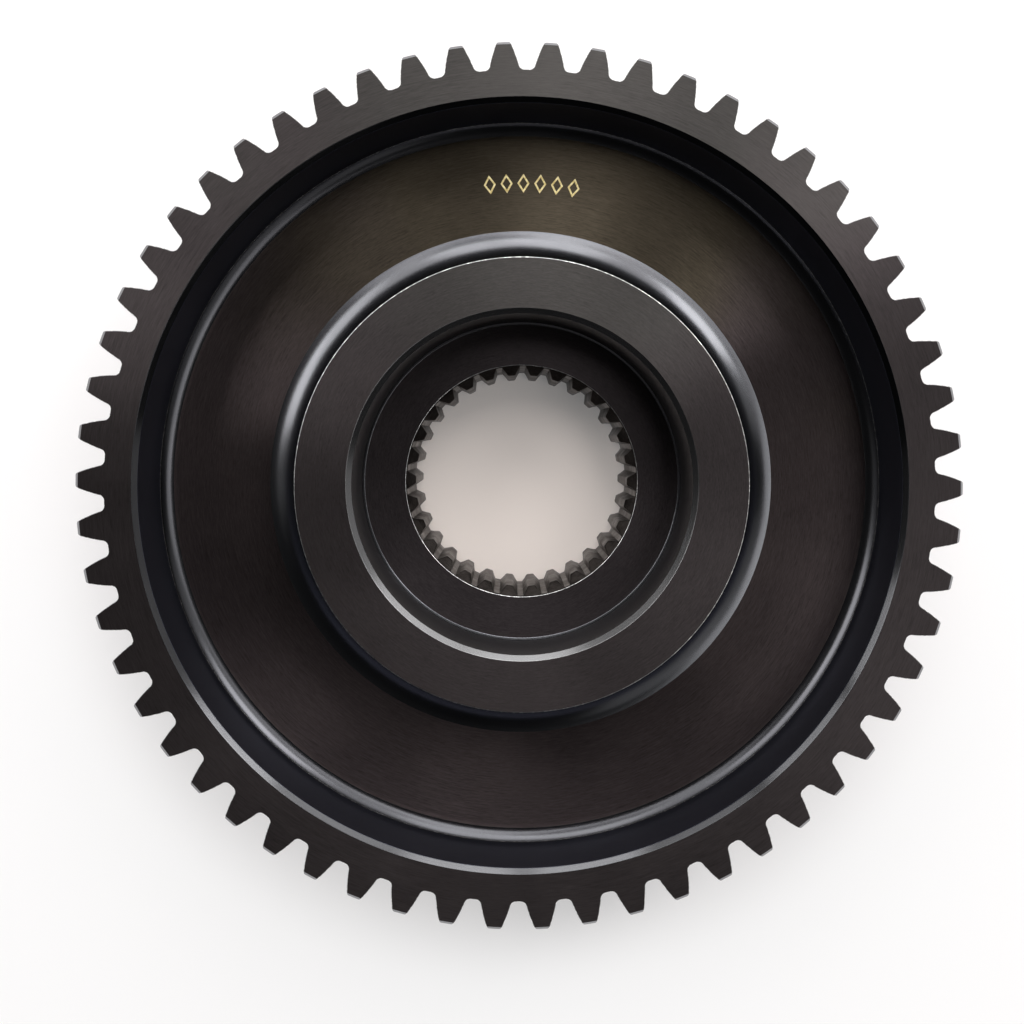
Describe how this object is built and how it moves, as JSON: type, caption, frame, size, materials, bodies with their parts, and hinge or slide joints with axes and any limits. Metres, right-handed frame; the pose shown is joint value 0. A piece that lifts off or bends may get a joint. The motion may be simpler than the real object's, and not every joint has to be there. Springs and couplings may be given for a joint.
{
  "type": "splined spur gear",
  "caption": "Black-oxide steel spur gear with straight stub teeth, a web sunk between rim and hub, a counterbored hub and an internally splined bore.",
  "frame": {"origin": "centre of the hub's back face, on the gear's axis, where the gear rests", "axes": "+Z along the gear's axis, from the back of the hub to the front face with the counterbore; +X through the middle of one tooth"},
  "size_m": [0.2384, 0.2382, 0.058],
  "materials": {
    "black_steel": "turned and hobbed steel with a semi-gloss black-oxide coat, fine concentric turning marks and bare bright burrs on the hub's edge"
  },
  "bodies": {
    "root": {"gear": "black_steel"}
  },
  "joints": []
}
